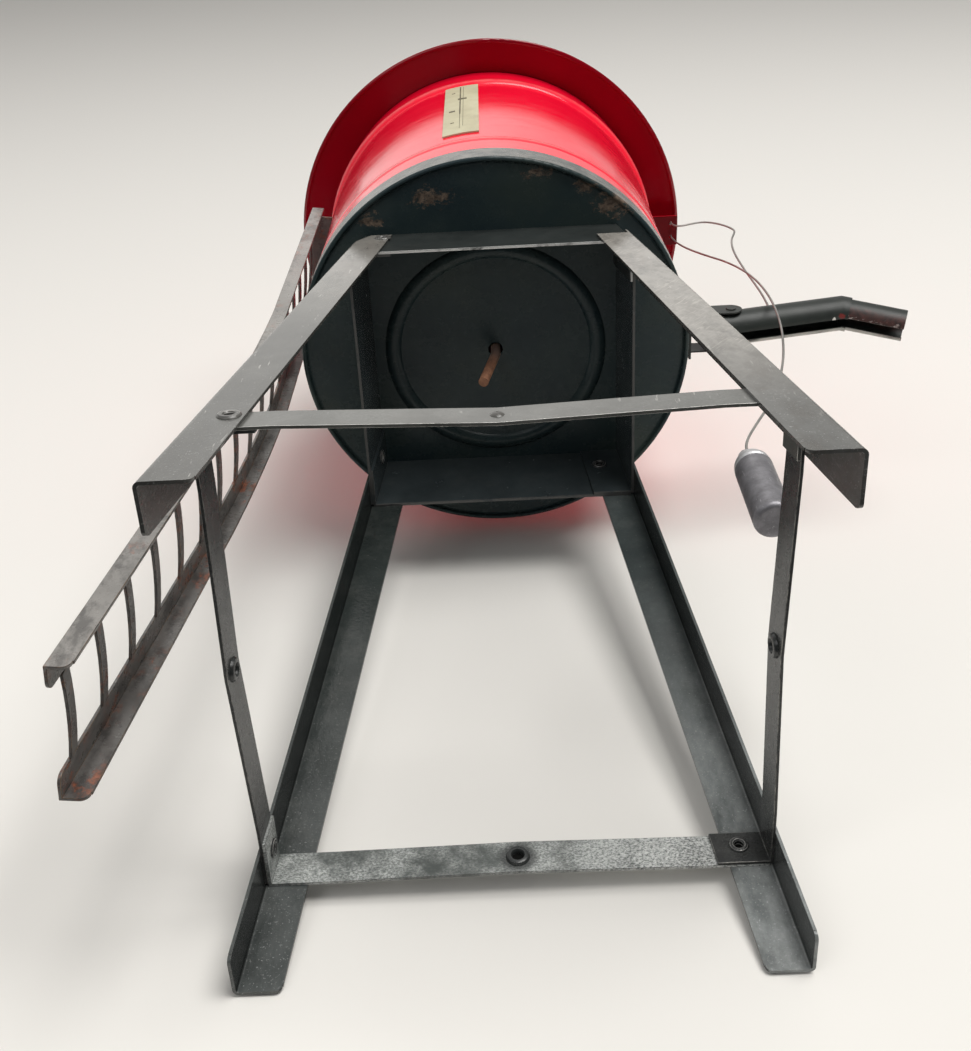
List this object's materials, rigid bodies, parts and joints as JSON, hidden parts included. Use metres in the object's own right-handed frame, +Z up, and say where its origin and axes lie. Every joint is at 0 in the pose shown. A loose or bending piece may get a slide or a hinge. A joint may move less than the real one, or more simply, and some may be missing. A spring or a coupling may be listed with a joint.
{
  "type": "toy railway water tower",
  "caption": "Tinplate toy-railway water tower: a round tank with conical roof on splayed angle legs, with a side ladder, a level gauge and a hinged spout balanced by a hanging weight.",
  "frame": {"origin": "on the ground plane, at the centre of the square of the four feet, on the tank's axis", "axes": "+Z up along the tank's axis; +X towards the swinging spout, -X towards the ladder; -Y is the front with the level gauge"},
  "size_m": [0.1833, 0.1212, 0.293],
  "materials": {
    "red_enamel": "gloss",
    "black_enamel": "satin, dusty",
    "ladder_black": "satin, worn with rust",
    "spout_black": "satin, worn",
    "dark_fittings": "satin, worn bright",
    "gauge_cream": null,
    "rusty_rod": "rusted",
    "wire_steel": "dull",
    "dull_lead": "dull, scraped"
  },
  "bodies": {
    "tower": {"brace_rivet_back_left": "dark_fittings", "brace_rivet_back_right": "dark_fittings", "brace_rivet_front_left": "dark_fittings", "brace_rivet_front_right": "dark_fittings", "brace_strap_back": "black_enamel", "brace_strap_front": "black_enamel", "brace_strap_left": "black_enamel", "brace_strap_right": "black_enamel", "collar_rivet_back_left": "dark_fittings", "collar_rivet_back_right": "dark_fittings", "collar_rivet_front_left": "dark_fittings", "collar_rivet_front_right": "dark_fittings", "collar_strip_back": "black_enamel", "collar_strip_front": "black_enamel", "collar_strip_left": "black_enamel", "collar_strip_right": "black_enamel", "gauge_plate": "gauge_cream", "ladder_rail_back": "ladder_black", "ladder_rail_front": "ladder_black", "ladder_rungs": "ladder_black", "ladder_shelf": "ladder_black", "leg_back_left": "black_enamel", "leg_back_right": "black_enamel", "leg_front_left": "black_enamel", "leg_front_right": "black_enamel", "roof": "red_enamel", "roof_finial": "red_enamel", "spout_bracket": "spout_black", "spout_hinge_pin": "dark_fittings", "strap_rivet_back": "dark_fittings", "strap_rivet_front": "dark_fittings", "strap_rivet_left": "dark_fittings", "strap_rivet_right": "dark_fittings", "tank_bottom": "black_enamel", "tank_shell": "red_enamel", "tie_rod": "rusty_rod", "wire_guide": "red_enamel", "wire_to_spout": "wire_steel", "wire_to_weight": "wire_steel"},
    "spout": {"spout_pipe": "spout_black", "spout_nozzle": "spout_black", "spout_eye": "dark_fittings"},
    "weight": {"counterweight": "dull_lead", "counterweight_cap": "dull_lead"}
  },
  "joints": [
    {"name": "spout_hinge", "type": "hinge", "parent": "tower", "child": "spout", "pos_m": [0.0625, 0, 0.1728], "axis": [0, -1, 0], "range_deg": [-40, 55], "deforming": ["wire_to_spout"]},
    {"name": "weight_slide", "type": "slide", "parent": "tower", "child": "weight", "axis": [0, 0, 1], "range_m": [-0.012, 0.009], "deforming": ["wire_to_weight"]}
  ],
  "couplings": [
    {"joint": "weight_slide", "follows": "spout_hinge", "m_per_rad": -0.012}
  ]
}
